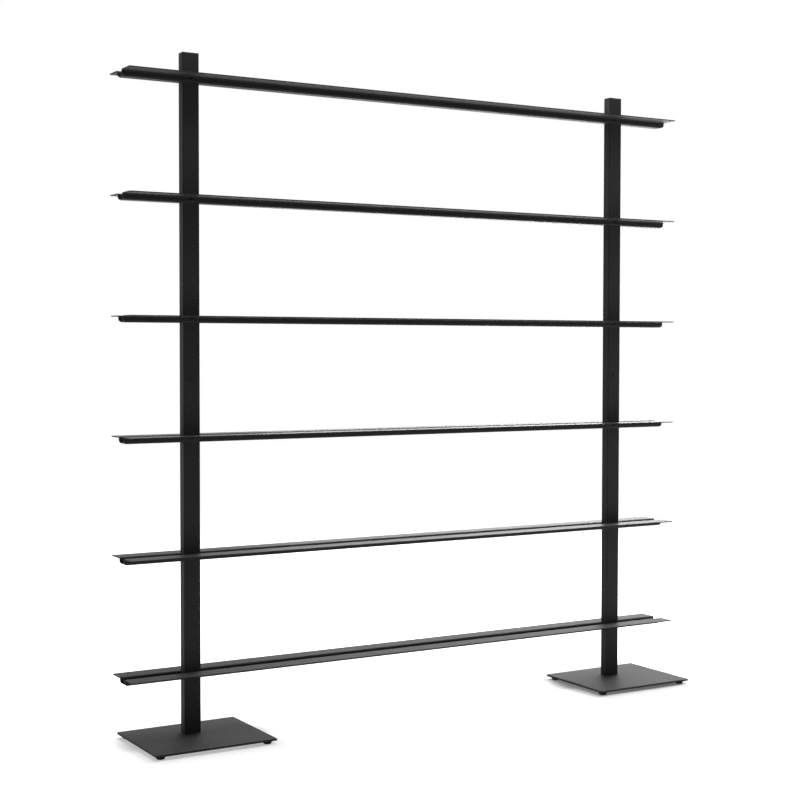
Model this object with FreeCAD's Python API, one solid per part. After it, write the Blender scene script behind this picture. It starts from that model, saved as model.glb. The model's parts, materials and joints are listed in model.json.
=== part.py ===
import FreeCAD, Part
import math
import os

from FreeCAD import Vector

# Spine bookshelf: two posts on base plates carry six folded steel shelves.
# Millimetres, +Z up, +X along the shelves, the front faces -Y.
# The origin is on the floor, midway between the posts and under the middle of the base plates.

overall_height = 1940.0  # floor to the top of the post caps

# Posts, rectangular steel tube
post_spacing = 1515.0  # between the two centre lines
post_width = 50.0  # along the shelves
post_depth = 30.0
post_wall = 2.0
post_corner = 2.5  # outer corner radius of the tube
post_inner_corner = 1.0
post_rise = 61.0  # tube above the top shelf
post_setback = 41.0  # post centre behind the middle of the base plate

# Shelves, one folded sheet each: flange, web, bottom, web, flange
level_count = 6
first_level = 192.5  # top of the lowest shelf above the floor
shelf_overhang = 205.0  # past each post centre line
flange_width = 58.5  # outside of the web to the tip
web_height = 19.6  # top of the flange to the outside of the bottom
sheet = 3.0
bend_radius = 3.0  # inside of each fold
flange_corner = 2.0
end_corner = 11.0  # lower corner of the webs at each shelf end
shelf_slip = 0.3  # between a post face and the web beside it
notch_slip = 0.5  # between a post side and the notch in the bottom
notch_corner = 1.5

# Button head screws of the shelves and of the tie points
screw_diameter = 5.0
screw_length = 12.0
screw_head_diameter = 9.5
screw_head_height = 2.75
screw_socket_width = 3.0
screw_socket_depth = 1.6
screw_hole_slip = 0.3  # around the shank, in the web
head_round_share = 0.85  # of the head height
tip_chamfer_share = 0.12  # of the shank diameter
thread_slip = 0.05  # around a shank, in its thread

# Rivet nuts in the post walls, set flush
nut_barrel_wall = 1.0
nut_head_reach = 0.8  # head beyond the barrel
nut_head_thickness = 0.6
nut_length = 10.0
nut_collar_reach = 1.3  # upset collar beyond the barrel
nut_collar_length = 2.5
nut_slip = 0.05  # around barrel and head, in the post wall

# Post caps, moulded plugs
cap_head = 4.0
cap_round = 1.2  # top edge
cap_plug_depth = 18.0
cap_plug_wall = 2.0
cap_plug_slip = 0.6  # plug to tube
cap_rib_count = 3
cap_rib_height = 1.5
cap_rib_slip = 0.05  # rib to tube

# Base plates
plate_width = 363.0
plate_depth = 296.0
plate_thickness = 6.0
plate_corner = 2.0
plate_edge = 0.5  # broken edges

# Blocks in the post bottoms and the countersunk screws that pull them down
block_height = 20.0
block_slip = 0.1  # to the tube
base_screw_diameter = 8.0
base_screw_length = 22.0
base_screw_head_diameter = 15.5
base_screw_spacing = 24.0
base_screw_socket_width = 5.0
base_screw_socket_depth = 3.0
base_hole_slip = 0.25  # around shank and head, in the plate

# Feet, each held by a screw and a washer in its recess
foot_height = 10.0
foot_top_diameter = 31.0
foot_bottom_diameter = 21.0
foot_round = 1.5
foot_inset = 21.5  # foot centre from both plate edges
foot_roof = 3.0  # rubber between washer and plate
foot_recess_diameter = 12.5
foot_hole_slip = 0.2
washer_diameter = 11.5
washer_thickness = 1.0
foot_screw_diameter = 5.0
foot_screw_head_diameter = 9.0
foot_screw_head_height = 2.2
foot_screw_socket_width = 3.0
foot_screw_socket_depth = 1.2
foot_screw_grip = 4.2  # thread in the plate
foot_hole_end = 0.5  # blind hole past the screw's tip

overrun = 1.0  # cutting tools past the faces that they open
tiny = 1e-6

# Places that follow
plate_top = foot_height + plate_thickness
cap_seat = overall_height - cap_head
top_level = cap_seat - post_rise
level_pitch = (top_level - first_level) / (level_count - 1)
tube_width = post_width - 2 * post_wall  # inside of the tube
tube_depth = post_depth - 2 * post_wall
web_inside = post_depth / 2 + shelf_slip
web_outside = web_inside + sheet
flange_tip = web_outside + flange_width
shelf_length = post_spacing + 2 * shelf_overhang
screw_drop = sheet + bend_radius + screw_head_diameter / 2  # head just under the flange fold
tie_height = (first_level + top_level) / 2 - screw_drop
nut_barrel = screw_diameter / 2 + thread_slip + nut_barrel_wall
nut_head = nut_barrel + nut_head_reach
posts = {"left": -post_spacing / 2, "right": post_spacing / 2}
front = -1
back = 1
upright = Vector(0, 0, 1)
centre = Vector(0, 0, 0)
full_turn = 360
quarter_turn = 90
hex_sides = 6


# Shapes that several pieces share

def outline_face(corners, place):
    # Closed outline through (u, v, radius) corners, each rounded by a tangent arc.
    points = [Vector(u, v, 0) for u, v, radius in corners]
    stops = []
    for index, (u, v, radius) in enumerate(corners):
        here = points[index]
        behind = (points[index - 1] - here).normalize()
        ahead = (points[(index + 1) % len(points)] - here).normalize()
        half_angle = behind.getAngle(ahead) / 2
        inward = (behind + ahead).normalize()
        reach = radius / math.tan(half_angle)
        middle = here + inward * (radius / math.sin(half_angle) - radius)
        stops.append((here + behind * reach, middle, here + ahead * reach, radius))
    edges = []
    for index, (start, middle, end, radius) in enumerate(stops):
        last_end = stops[index - 1][2]
        if (start - last_end).Length > tiny:
            edges.append(Part.makeLine(place(last_end), place(start)))
        if radius > 0:
            edges.append(Part.Arc(place(start), place(middle), place(end)).toShape())
    return Part.Face(Part.Wire(edges))


def turned(corners):
    # Solid of revolution about Z from (radius, height, rounding) corners.
    face = outline_face(corners, lambda point: Vector(point.x, 0, point.y))
    return face.revolve(centre, upright, full_turn)


def rounded_bar(width, depth, corner, bottom, top):
    x = width / 2
    y = depth / 2
    corners = [(-x, -y, corner), (x, -y, corner), (x, y, corner), (-x, y, corner)]
    face = outline_face(corners, lambda point: Vector(point.x, point.y, bottom))
    return face.extrude(upright * (top - bottom))


def rod(radius, bottom, top):
    return Part.makeCylinder(radius, top - bottom, Vector(0, 0, bottom))


def hex_rod(across_flats, bottom, top):
    radius = across_flats / 2 / math.cos(math.pi / hex_sides)
    turns = [2 * math.pi * step / hex_sides for step in range(hex_sides + 1)]
    points = [Vector(radius * math.cos(turn), radius * math.sin(turn), bottom) for turn in turns]
    return Part.Face(Part.makePolygon(points)).extrude(upright * (top - bottom))


def moved(shape, x, y, z):
    copy = shape.copy()
    copy.translate(Vector(x, y, z))
    return copy


def set_in(shape, side, x, face, z):
    # Turns a shape's +Z outwards and sets it at a distance from the posts' middle plane.
    copy = shape.copy()
    copy.rotate(centre, Vector(1, 0, 0), -side * quarter_turn)
    copy.translate(Vector(x, post_setback + side * face, z))
    return copy


def headed_screw(diameter, length, head_diameter, head_height, socket_width, socket_depth):
    # Round head above zero, shank below, hexagon socket in the head.
    radius = diameter / 2
    chamfer = diameter * tip_chamfer_share
    body = turned([
        (0, -length, 0),
        (radius - chamfer, -length, 0),
        (radius, chamfer - length, 0),
        (radius, 0, 0),
        (head_diameter / 2, 0, 0),
        (head_diameter / 2, head_height, head_height * head_round_share),
        (0, head_height, 0),
    ])
    return body.cut(hex_rod(socket_width, head_height - socket_depth, head_height + overrun))


# Shelf fasteners

def shelf_screw():
    return headed_screw(screw_diameter, screw_length, screw_head_diameter, screw_head_height,
                        screw_socket_width, screw_socket_depth)


def rivet_nut():
    # Head flush with zero, collar upset behind the post wall.
    bore = screw_diameter / 2 + thread_slip
    collar = nut_barrel + nut_collar_reach
    collar_end = -post_wall - nut_collar_length
    return turned([
        (bore, 0, 0),
        (nut_head, 0, 0),
        (nut_head, -nut_head_thickness, 0),
        (nut_barrel, -nut_head_thickness, 0),
        (nut_barrel, -post_wall, 0),
        (collar, -post_wall, 0),
        (collar, collar_end, 0),
        (nut_barrel, collar_end, 0),
        (nut_barrel, -nut_length, 0),
        (bore, -nut_length, 0),
    ])


def nut_seat():
    # Stepped hole that takes a rivet nut in the post wall.
    hole = rod(nut_barrel + nut_slip, -post_wall - overrun, overrun)
    return hole.fuse(rod(nut_head + nut_slip, -nut_head_thickness, overrun))


def level_heights():
    return [first_level + level * level_pitch for level in range(level_count)]


# Posts

def post(x):
    tube = rounded_bar(post_width, post_depth, post_corner, plate_top, cap_seat)
    bore = rounded_bar(tube_width, tube_depth, post_inner_corner, plate_top - overrun, cap_seat + overrun)
    tube = moved(tube.cut(bore), x, post_setback, 0)
    seats = [(side, top - screw_drop) for top in level_heights() for side in (front, back)]
    seats.append((front, tie_height))
    for side, height in seats:
        tube = tube.cut(set_in(nut_seat(), side, x, post_depth / 2, height))
    return tube


def post_cap(x):
    head = rounded_bar(post_width, post_depth, post_corner, cap_seat, overall_height)
    rim = [edge for edge in head.Edges if edge.BoundBox.ZMin > overall_height - tiny]
    cap = head.makeFillet(cap_round, rim)
    plug_width = tube_width - 2 * cap_plug_slip
    plug_depth = tube_depth - 2 * cap_plug_slip
    plug_end = cap_seat - cap_plug_depth
    plug = rounded_bar(plug_width, plug_depth, post_inner_corner, plug_end, cap_seat)
    hollow = rounded_bar(plug_width - 2 * cap_plug_wall, plug_depth - 2 * cap_plug_wall, post_inner_corner,
                         plug_end - overrun, cap_seat)
    cap = cap.fuse(plug.cut(hollow))
    rib_pitch = cap_plug_depth / (cap_rib_count + 1)
    for rib in range(1, cap_rib_count + 1):
        middle = cap_seat - rib * rib_pitch
        ring = rounded_bar(tube_width - 2 * cap_rib_slip, tube_depth - 2 * cap_rib_slip, post_inner_corner,
                           middle - cap_rib_height / 2, middle + cap_rib_height / 2)
        cap = cap.fuse(ring.cut(hollow))
    return moved(cap.removeSplitter(), x, post_setback, 0)


def base_screw_places(x):
    return [(x + shift, post_setback) for shift in (-base_screw_spacing / 2, base_screw_spacing / 2)]


def post_block(x):
    block = rounded_bar(tube_width - 2 * block_slip, tube_depth - 2 * block_slip, post_inner_corner,
                        plate_top, plate_top + block_height)
    block = moved(block, x, post_setback, 0)
    thread = rod(base_screw_diameter / 2 + thread_slip, -overrun, plate_thickness + block_height + overrun)
    for place_x, place_y in base_screw_places(x):
        block = block.cut(moved(thread, place_x, place_y, foot_height))
    return block


# Shelves

def end_round(bottom):
    # Cutter for the lower corner of the webs at the right end.
    width = 2 * (web_outside + overrun)
    middle = Vector(shelf_length / 2 - end_corner, -width / 2, bottom + end_corner)
    reach = end_corner + overrun
    corner = Part.makeBox(reach, width, reach, middle - upright * reach)
    return corner.cut(Part.makeCylinder(end_corner, width, middle, Vector(0, 1, 0)))


def shelf(top):
    bottom = -web_height
    outer_bend = bend_radius + sheet
    section = outline_face([
        (flange_tip, 0, 0),
        (web_inside, 0, outer_bend),
        (web_inside, bottom + sheet, bend_radius),
        (-web_inside, bottom + sheet, bend_radius),
        (-web_inside, 0, outer_bend),
        (-flange_tip, 0, 0),
        (-flange_tip, -sheet, 0),
        (-web_outside, -sheet, bend_radius),
        (-web_outside, bottom, outer_bend),
        (web_outside, bottom, outer_bend),
        (web_outside, -sheet, bend_radius),
        (flange_tip, -sheet, 0),
    ], lambda point: Vector(-shelf_length / 2, point.x, point.y))
    body = section.extrude(Vector(shelf_length, 0, 0))
    body = body.common(rounded_bar(shelf_length, 2 * flange_tip, flange_corner, bottom - overrun, overrun))
    notch = rounded_bar(post_width + 2 * notch_slip, 2 * web_inside, notch_corner,
                        bottom - overrun, bottom + outer_bend)
    for x in posts.values():
        body = body.cut(moved(notch, x, 0, 0))
    right_corner = end_round(bottom)
    body = body.cut(right_corner).cut(right_corner.mirror(centre, Vector(1, 0, 0)))
    body = moved(body, 0, post_setback, top)
    hole = rod(screw_diameter / 2 + screw_hole_slip, -sheet - overrun, overrun)
    for x in posts.values():
        for side in (front, back):
            body = body.cut(set_in(hole, side, x, web_outside, top - screw_drop))
    return body


def level_fasteners(piece, face, top):
    places = [(side, x) for x in posts.values() for side in (front, back)]
    return [set_in(piece, side, x, face, top - screw_drop) for side, x in places]


# Base plates and feet

def base_screw():
    # Countersunk head flush with zero, shank upwards.
    radius = base_screw_diameter / 2
    head = base_screw_head_diameter / 2
    chamfer = base_screw_diameter * tip_chamfer_share
    body = turned([
        (0, 0, 0),
        (head, 0, 0),
        (radius, head - radius, 0),
        (radius, base_screw_length - chamfer, 0),
        (radius - chamfer, base_screw_length, 0),
        (0, base_screw_length, 0),
    ])
    return body.cut(hex_rod(base_screw_socket_width, -overrun, base_screw_socket_depth))


def base_hole():
    # Countersunk hole in the plate, one slip larger all round than the screw.
    radius = base_screw_diameter / 2 + base_hole_slip
    head = base_screw_head_diameter / 2 + base_hole_slip
    return turned([
        (0, -overrun, 0),
        (head, -overrun, 0),
        (head, 0, 0),
        (radius, head - radius, 0),
        (radius, plate_thickness + overrun, 0),
        (0, plate_thickness + overrun, 0),
    ])


def foot_places(x):
    reach_x = plate_width / 2 - foot_inset
    reach_y = plate_depth / 2 - foot_inset
    outwards = math.copysign(reach_x, x)
    return {
        "front_outer": (x + outwards, -reach_y),
        "front_inner": (x - outwards, -reach_y),
        "back_outer": (x + outwards, reach_y),
        "back_inner": (x - outwards, reach_y),
    }


def base_plate(x):
    plate = rounded_bar(plate_width, plate_depth, plate_corner, foot_height, plate_top)
    rims = [edge for edge in plate.Edges if edge.BoundBox.ZLength < tiny]
    plate = moved(plate.makeChamfer(plate_edge, rims), x, 0, 0)
    for place_x, place_y in base_screw_places(x):
        plate = plate.cut(moved(base_hole(), place_x, place_y, foot_height))
    thread = rod(foot_screw_diameter / 2 + thread_slip, -overrun, foot_screw_grip + foot_hole_end)
    for place_x, place_y in foot_places(x).values():
        plate = plate.cut(moved(thread, place_x, place_y, foot_height))
    return plate


def foot():
    roof = foot_height - foot_roof
    hole = foot_screw_diameter / 2 + foot_hole_slip
    return turned([
        (foot_recess_diameter / 2, 0, 0),
        (foot_bottom_diameter / 2, 0, foot_round),
        (foot_top_diameter / 2, foot_height, 0),
        (hole, foot_height, 0),
        (hole, roof, 0),
        (foot_recess_diameter / 2, roof, 0),
    ])


def foot_washer():
    roof = foot_height - foot_roof
    disc = rod(washer_diameter / 2, roof - washer_thickness, roof)
    hole = rod(foot_screw_diameter / 2 + foot_hole_slip, roof - washer_thickness - overrun, roof + overrun)
    return disc.cut(hole)


def foot_screw():
    length = washer_thickness + foot_roof + foot_screw_grip
    screw = headed_screw(foot_screw_diameter, length, foot_screw_head_diameter, foot_screw_head_height,
                         foot_screw_socket_width, foot_screw_socket_depth)
    screw.rotate(centre, Vector(1, 0, 0), 2 * quarter_turn)
    return moved(screw, 0, 0, foot_height - foot_roof - washer_thickness)


# Writing the pieces

def save(name, solids):
    shape = solids[0] if len(solids) == 1 else Part.makeCompound(solids)
    sound = all(solid.isValid() and len(solid.Solids) == 1 for solid in solids)
    shape.exportStep(os.path.join("parts", name + ".step"))
    print(name, len(solids), "sound" if sound else "NOT SOUND", round(shape.Volume))


os.makedirs("parts", exist_ok=True)

for side_name, post_x in posts.items():
    screws = base_screw_places(post_x)
    feet = foot_places(post_x)
    save(side_name + "_post", [post(post_x)])
    save(side_name + "_post_cap", [post_cap(post_x)])
    save(side_name + "_post_block", [post_block(post_x)])
    save(side_name + "_base_plate", [base_plate(post_x)])
    save(side_name + "_base_screws", [moved(base_screw(), x, y, foot_height) for x, y in screws])
    for corner_name, (foot_x, foot_y) in feet.items():
        save(side_name + "_foot_" + corner_name, [moved(foot(), foot_x, foot_y, 0)])
    save(side_name + "_foot_washers", [moved(foot_washer(), x, y, 0) for x, y in feet.values()])
    save(side_name + "_foot_screws", [moved(foot_screw(), x, y, 0) for x, y in feet.values()])

for number, height in enumerate(level_heights(), start=1):
    shelf_name = "shelf_" + str(number)
    save(shelf_name, [shelf(height)])
    save(shelf_name + "_screws", level_fasteners(shelf_screw(), web_outside, height))
    save(shelf_name + "_nuts", level_fasteners(rivet_nut(), post_depth / 2, height))

save("tie_screws", [set_in(shelf_screw(), front, x, post_depth / 2, tie_height) for x in posts.values()])
save("tie_nuts", [set_in(rivet_nut(), front, x, post_depth / 2, tie_height) for x in posts.values()])

print("shelf", round(shelf_length), "x", round(2 * flange_tip), "level pitch", round(level_pitch, 2))
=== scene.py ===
import bpy
import json
import math
from mathutils import Matrix, Vector

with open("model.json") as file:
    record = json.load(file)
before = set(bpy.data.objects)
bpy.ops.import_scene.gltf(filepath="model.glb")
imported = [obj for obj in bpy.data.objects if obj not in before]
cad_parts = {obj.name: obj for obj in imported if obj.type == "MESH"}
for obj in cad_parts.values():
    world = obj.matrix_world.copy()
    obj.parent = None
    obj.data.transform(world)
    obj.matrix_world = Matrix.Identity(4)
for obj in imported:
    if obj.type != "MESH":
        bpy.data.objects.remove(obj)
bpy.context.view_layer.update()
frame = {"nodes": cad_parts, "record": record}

nodes = frame["nodes"]
print("frame loaded,", len(nodes), "nodes")

plainWhite = (1.0, 1.0, 1.0, 1.0)
nodeStep = (240, 220)  # columns and rows of a laid out node tree


# Small helpers for node trees

def addNode(tree, kind, **values):
    node = tree.nodes.new(kind)
    for name, value in values.items():
        setattr(node, name, value)
    return node


def feed(tree, socket, value):
    # a socket takes a link or a plain value
    if hasattr(value, "is_linked"):
        tree.links.new(value, socket)
    else:
        socket.default_value = value


def feedAll(tree, node, values):
    for label, value in values.items():
        feed(tree, node.inputs[label], value)


def mathNode(tree, operation, *values):
    node = addNode(tree, "ShaderNodeMath", operation=operation)
    for socket, value in zip(node.inputs, values):
        feed(tree, socket, value)
    return node.outputs["Value"]


def mapRange(tree, source, toRange, fromRange=(0.0, 1.0), kind="LINEAR"):
    node = addNode(tree, "ShaderNodeMapRange", interpolation_type=kind)
    labels = ("From Min", "From Max", "To Min", "To Max")
    feedAll(tree, node, {"Value": source, **dict(zip(labels, (*fromRange, *toRange)))})
    return node.outputs["Result"]


def noise(tree, place, scale, look):
    node = addNode(tree, "ShaderNodeTexNoise")
    feedAll(tree, node, {"Vector": place, "Scale": scale, **look})
    return node.outputs["Fac"]


def layOut(tree):
    # columns by the number of links to the end of the tree, rows in the order of making
    column = {node.name: 0 for node in tree.nodes}
    for link in list(tree.links) * len(tree.nodes):
        start, end = link.from_node.name, link.to_node.name
        column[start] = max(column[start], column[end] + 1)
    filled = {}
    for node in tree.nodes:
        at = column[node.name]
        row = filled.get(at, 0)
        filled[at] = row + 1
        node.location = (-at * nodeStep[0], -row * nodeStep[1])


def newGroup(name, inputs, outputs):
    tree = bpy.data.node_groups.new(name, "ShaderNodeTree")
    for label in inputs:
        tree.interface.new_socket(label, in_out="INPUT", socket_type="NodeSocketFloat")
    for label in outputs:
        tree.interface.new_socket(label, in_out="OUTPUT", socket_type="NodeSocketFloat")
    return tree, addNode(tree, "NodeGroupInput"), addNode(tree, "NodeGroupOutput")


# Shared surface effects

peelLook = {
    "peel": {"Detail": 1.0, "Roughness": 0.4},
    "tooth": {"Detail": 2.0, "Roughness": 0.6},
}


def buildPeel():
    # orange peel and fine tooth of a sprayed or moulded skin
    tree, given, out = newGroup("coatPeel", ["Peel Scale", "Tooth Scale", "Tooth Share"], ["Height"])
    place = addNode(tree, "ShaderNodeTexCoord").outputs["Object"]
    peel = noise(tree, place, given.outputs["Peel Scale"], peelLook["peel"])
    tooth = noise(tree, place, given.outputs["Tooth Scale"], peelLook["tooth"])
    fine = mathNode(tree, "MULTIPLY", tooth, given.outputs["Tooth Share"])
    feed(tree, out.inputs["Height"], mathNode(tree, "ADD", peel, fine))
    layOut(tree)
    return tree


driftLook = {
    "wide": {"Detail": 2.0, "Roughness": 0.5},
    "streak": {"Detail": 3.0, "Roughness": 0.55},
    "glossShare": 0.5,  # of each of the two in the gloss
}


def buildDrift():
    # slow change of tone and gloss over a large sheet
    tree, given, out = newGroup("slowDrift", ["Drift Scale", "Streak Scale"], ["Tone", "Gloss"])
    place = addNode(tree, "ShaderNodeTexCoord").outputs["Object"]
    wide = noise(tree, place, given.outputs["Drift Scale"], driftLook["wide"])
    streak = noise(tree, place, given.outputs["Streak Scale"], driftLook["streak"])
    gloss = mathNode(tree, "MULTIPLY", mathNode(tree, "ADD", wide, streak), driftLook["glossShare"])
    feedAll(tree, out, {"Tone": wide, "Gloss": gloss})
    layOut(tree)
    return tree


peelGroup = buildPeel()
driftGroup = buildDrift()
print("surface groups built")


# Finishes

def buildFinish(name, look):
    material = bpy.data.materials.new(name)
    material.use_nodes = True
    tree = material.node_tree
    shader = tree.nodes["Principled BSDF"]
    peel = addNode(tree, "ShaderNodeGroup", node_tree=peelGroup)
    feedAll(tree, peel, look["peel"])
    drift = addNode(tree, "ShaderNodeGroup", node_tree=driftGroup)
    feedAll(tree, drift, look["drift"])
    color = addNode(tree, "ShaderNodeMix", data_type="RGBA")
    feedAll(tree, color, {
        "Factor": drift.outputs["Tone"],
        "A": (*look["colorLow"], 1.0),
        "B": (*look["colorHigh"], 1.0),
    })
    rough = mapRange(tree, drift.outputs["Gloss"], look["roughness"])
    strength = look["bumpStrength"]
    if "lowAngle" in look:
        # a matt coat looks smoother and mirrors more when it is seen along its surface
        facing = addNode(tree, "ShaderNodeLayerWeight").outputs["Facing"]
        along = mapRange(tree, facing, (0.0, 1.0), look["lowAngle"])
        rough = mapRange(tree, along, (rough, look["lowRoughness"]))
        strength = mapRange(tree, along, (strength, 0.0))
    bump = addNode(tree, "ShaderNodeBump")
    feedAll(tree, bump, {
        "Strength": strength,
        "Distance": look["bumpDepth"],
        "Height": peel.outputs["Height"],
    })
    feedAll(tree, shader, {
        "Base Color": color.outputs["Result"],
        "Roughness": rough,
        "Normal": bump.outputs["Normal"],
        "Metallic": look["metallic"],
        "Specular IOR Level": look["specular"],
    })
    layOut(tree)
    return material


coatLook = {
    "colorLow": (0.030, 0.030, 0.0308),
    "colorHigh": (0.036, 0.036, 0.0368),
    "roughness": (0.61, 0.67),
    "specular": 0.12,
    "lowAngle": (0.81, 0.92),  # start and end of the change, as 1 minus the cosine of the viewing angle
    "lowRoughness": 0.42,
    "metallic": 0.0,
    "peel": {"Peel Scale": 420.0, "Tooth Scale": 1900.0, "Tooth Share": 0.3},
    "drift": {"Drift Scale": 2.5, "Streak Scale": 22.0},
    "bumpStrength": 0.06,
    "bumpDepth": 0.0004,
}
screwLook = {
    "colorLow": (0.016, 0.016, 0.0165),
    "colorHigh": (0.022, 0.022, 0.0225),
    "roughness": (0.42, 0.5),
    "specular": 0.15,
    "metallic": 0.0,
    "peel": {"Peel Scale": 900.0, "Tooth Scale": 4200.0, "Tooth Share": 0.6},
    "drift": {"Drift Scale": 60.0, "Streak Scale": 500.0},
    "bumpStrength": 0.2,
    "bumpDepth": 0.0002,
}
zincLook = {
    "colorLow": (0.46, 0.47, 0.48),
    "colorHigh": (0.58, 0.58, 0.57),
    "roughness": (0.28, 0.42),
    "specular": 0.5,
    "metallic": 1.0,
    "peel": {"Peel Scale": 700.0, "Tooth Scale": 3600.0, "Tooth Share": 0.6},
    "drift": {"Drift Scale": 90.0, "Streak Scale": 420.0},
    "bumpStrength": 0.2,
    "bumpDepth": 0.0002,
}
plasticLook = {
    "colorLow": (0.010, 0.010, 0.0105),
    "colorHigh": (0.013, 0.013, 0.0135),
    "roughness": (0.48, 0.56),
    "specular": 0.45,
    "metallic": 0.0,
    "peel": {"Peel Scale": 1600.0, "Tooth Scale": 5200.0, "Tooth Share": 0.7},
    "drift": {"Drift Scale": 40.0, "Streak Scale": 160.0},
    "bumpStrength": 0.25,
    "bumpDepth": 0.0002,
}
rubberLook = {
    "colorLow": (0.007, 0.007, 0.007),
    "colorHigh": (0.011, 0.011, 0.0108),
    "roughness": (0.66, 0.8),
    "specular": 0.12,
    "metallic": 0.0,
    "peel": {"Peel Scale": 800.0, "Tooth Scale": 3000.0, "Tooth Share": 0.8},
    "drift": {"Drift Scale": 60.0, "Streak Scale": 240.0},
    "bumpStrength": 0.3,
    "bumpDepth": 0.0003,
}
finishes = {
    "coated_steel": buildFinish("blackCoat", coatLook),
    "black_steel": buildFinish("blackScrew", screwLook),
    "plain_steel": buildFinish("zincSteel", zincLook),
    "black_plastic": buildFinish("capPlastic", plasticLook),
    "black_rubber": buildFinish("footRubber", rubberLook),
}
slots = {part["node"]: part["material_slot"] for part in frame["record"]["subparts"]}
for name, piece in nodes.items():
    piece.data.materials.clear()
    piece.data.materials.append(finishes[slots[name]])
print("finishes placed")


# Floor, room and lamps

def seenWhite(tree):
    # 1 for the rays that show the plain white background
    ray = addNode(tree, "ShaderNodeLightPath").outputs
    mirrored = mathNode(tree, "MAXIMUM", ray["Is Glossy Ray"], ray["Is Transmission Ray"])
    return mathNode(tree, "MAXIMUM", ray["Is Camera Ray"], mirrored)


def addObject(name, data):
    holder = bpy.data.objects.new(name, data)
    bpy.context.scene.collection.objects.link(holder)
    return holder


floorLook = {
    "reach": 40.0,
    "color": (0.8, 0.8, 0.8, 1.0),
    "plateAt": (0.7575, 0.0),  # middle of each base plate, left and right alike
    "plateHalf": (0.1815, 0.148),
    "liftUnder": (0.46, 0.14),  # white added beside the left and right plate, so that only shade shows
    "liftFar": 1.0,
    "fade": (0.1, 0.3),  # distance from a plate along x and y at which the added white is full
}


def pastPlates(tree, spot):
    # way past the footprint of the nearer plate, as a share of the fade
    squares = []
    sizes = [floorLook[key] for key in ("plateAt", "plateHalf", "fade")]
    for axis, at, half, fade in zip("XY", *sizes):
        side = mathNode(tree, "ABSOLUTE", spot[axis])
        off = mathNode(tree, "ABSOLUTE", mathNode(tree, "SUBTRACT", side, at))
        past = mathNode(tree, "MAXIMUM", mathNode(tree, "SUBTRACT", off, half), 0.0)
        squares.append(mathNode(tree, "POWER", mathNode(tree, "DIVIDE", past, fade), 2.0))
    return mathNode(tree, "SQRT", mathNode(tree, "ADD", *squares))


def buildFloor():
    reach = floorLook["reach"]
    mesh = bpy.data.meshes.new("floor")
    corners = [(-reach, -reach, 0), (reach, -reach, 0), (reach, reach, 0), (-reach, reach, 0)]
    mesh.from_pydata(corners, [], [(0, 1, 2, 3)])
    floor = addObject("floor", mesh)
    material = bpy.data.materials.new("paleFloor")
    material.use_nodes = True
    tree = material.node_tree
    tree.nodes.clear()
    split = addNode(tree, "ShaderNodeSeparateXYZ")
    feed(tree, split.inputs[0], addNode(tree, "ShaderNodeTexCoord").outputs["Object"])
    plateX = floorLook["plateAt"][0]
    near = mapRange(tree, split.outputs["X"], floorLook["liftUnder"], (-plateX, plateX))
    away = pastPlates(tree, split.outputs)
    lift = mapRange(tree, away, (near, floorLook["liftFar"]), kind="SMOOTHSTEP")
    matt = addNode(tree, "ShaderNodeBsdfDiffuse")
    feedAll(tree, matt, {"Color": floorLook["color"]})
    white = addNode(tree, "ShaderNodeEmission")
    seen = mathNode(tree, "MULTIPLY", seenWhite(tree), lift)
    feedAll(tree, white, {"Color": plainWhite, "Strength": seen})
    both = addNode(tree, "ShaderNodeAddShader")
    for socket, shader in zip(both.inputs, (matt, white)):
        feed(tree, socket, shader.outputs[0])
    out = addNode(tree, "ShaderNodeOutputMaterial")
    feedAll(tree, out, {"Surface": both.outputs[0]})
    layOut(tree)
    mesh.materials.append(material)


roomLook = {
    "fill": 0.005,  # even light on the object from all round
    "backdrop": 1.0,  # plain white
}


def buildRoom():
    world = bpy.data.worlds.new("studio")
    bpy.context.scene.world = world
    world.use_nodes = True
    tree = world.node_tree
    tree.nodes.clear()
    level = mapRange(tree, seenWhite(tree), (roomLook["fill"], roomLook["backdrop"]))
    backdrop = addNode(tree, "ShaderNodeBackground")
    feedAll(tree, backdrop, {"Color": plainWhite, "Strength": level})
    out = addNode(tree, "ShaderNodeOutputWorld")
    feedAll(tree, out, {"Surface": backdrop.outputs[0]})
    layOut(tree)


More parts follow.
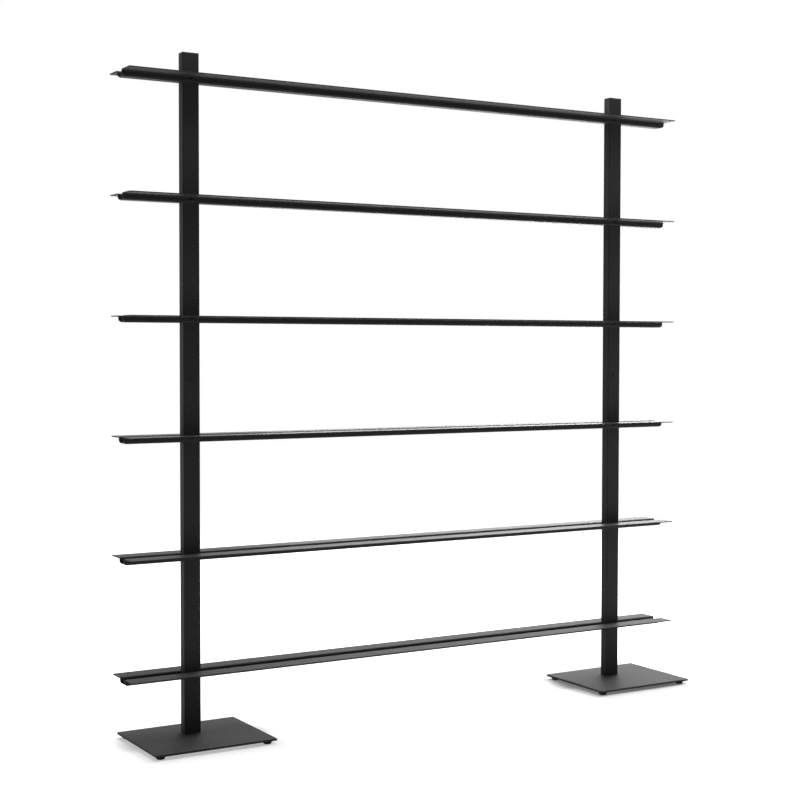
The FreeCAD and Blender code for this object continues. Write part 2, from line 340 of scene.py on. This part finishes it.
lampLook = {
    "rightBox": {
        "place": (4.0, 0.6, 2.2),
        "aim": (0.0, 0.0, 0.9),
        "size": (3.0, 3.0),
        "power": 195.0,
    },
    "backRightBox": {
        "place": (3.0, 2.4, 1.8),
        "aim": (0.0, 0.0, 0.9),
        "size": (2.4, 2.4),
        "power": 27.0,
    },
    "backStrip": {
        "place": (2.6, 3.1, 1.2),
        "aim": (0.2, 0.0, 0.7),
        "size": (3.0, 0.7),
        "power": 41.0,
    },
    "backLeftBox": {
        "place": (-3.0, 2.6, 1.4),
        "aim": (0.0, 0.0, 0.9),
        "size": (2.0, 2.0),
        "power": 19.0,
    },
    "topBox": {
        "place": (0.0, 0.0, 3.4),
        "aim": (0.0, 0.0, 0.0),
        "size": (2.6, 1.8),
        "power": 86.0,
    },
    "topBackBox": {
        "place": (0.0, 1.4, 3.2),
        "aim": (0.0, 0.0, 0.5),
        "size": (2.6, 1.4),
        "power": 29.0,
    },
}


def buildLamps():
    for name, look in lampLook.items():
        lamp = bpy.data.lights.new(name, "AREA")
        lamp.shape = "RECTANGLE"
        lamp.size, lamp.size_y = look["size"]
        lamp.energy = look["power"]
        holder = addObject(name, lamp)
        holder.visible_camera = False
        way = Vector(look["aim"]) - Vector(look["place"])
        turn = way.to_track_quat("-Z", "Y").to_matrix().to_4x4()
        holder.matrix_world = Matrix.Translation(look["place"]) @ turn


cameraLook = {
    "place": (-2.4617, -3.9702, 1.1163),
    "yaw": 30.872,  # degrees to the right of +Y
    "pitch": 2.001,  # degrees down
    "roll": 0.081,
    "lens": 68.62,
    "sensor": 36.0,
}


def buildCamera():
    yaw, pitch, roll = (math.radians(cameraLook[key]) for key in ("yaw", "pitch", "roll"))
    view = bpy.data.cameras.new("photoView")
    view.lens = cameraLook["lens"]
    view.sensor_width = cameraLook["sensor"]
    holder = addObject("photoView", view)
    level = math.cos(pitch)
    ahead = Vector((math.sin(yaw) * level, math.cos(yaw) * level, -math.sin(pitch)))
    right = Vector((math.cos(yaw), -math.sin(yaw), 0.0))
    up = right.cross(ahead)
    leanRight = math.cos(roll) * right + math.sin(roll) * up
    leanUp = math.cos(roll) * up - math.sin(roll) * right
    turn = Matrix((leanRight, leanUp, -ahead)).transposed()
    holder.matrix_world = Matrix.Translation(cameraLook["place"]) @ turn.to_4x4()
    bpy.context.scene.camera = holder


buildFloor()
buildRoom()
buildLamps()
buildCamera()
bpy.context.scene.view_settings.view_transform = "Standard"
print("stage set")
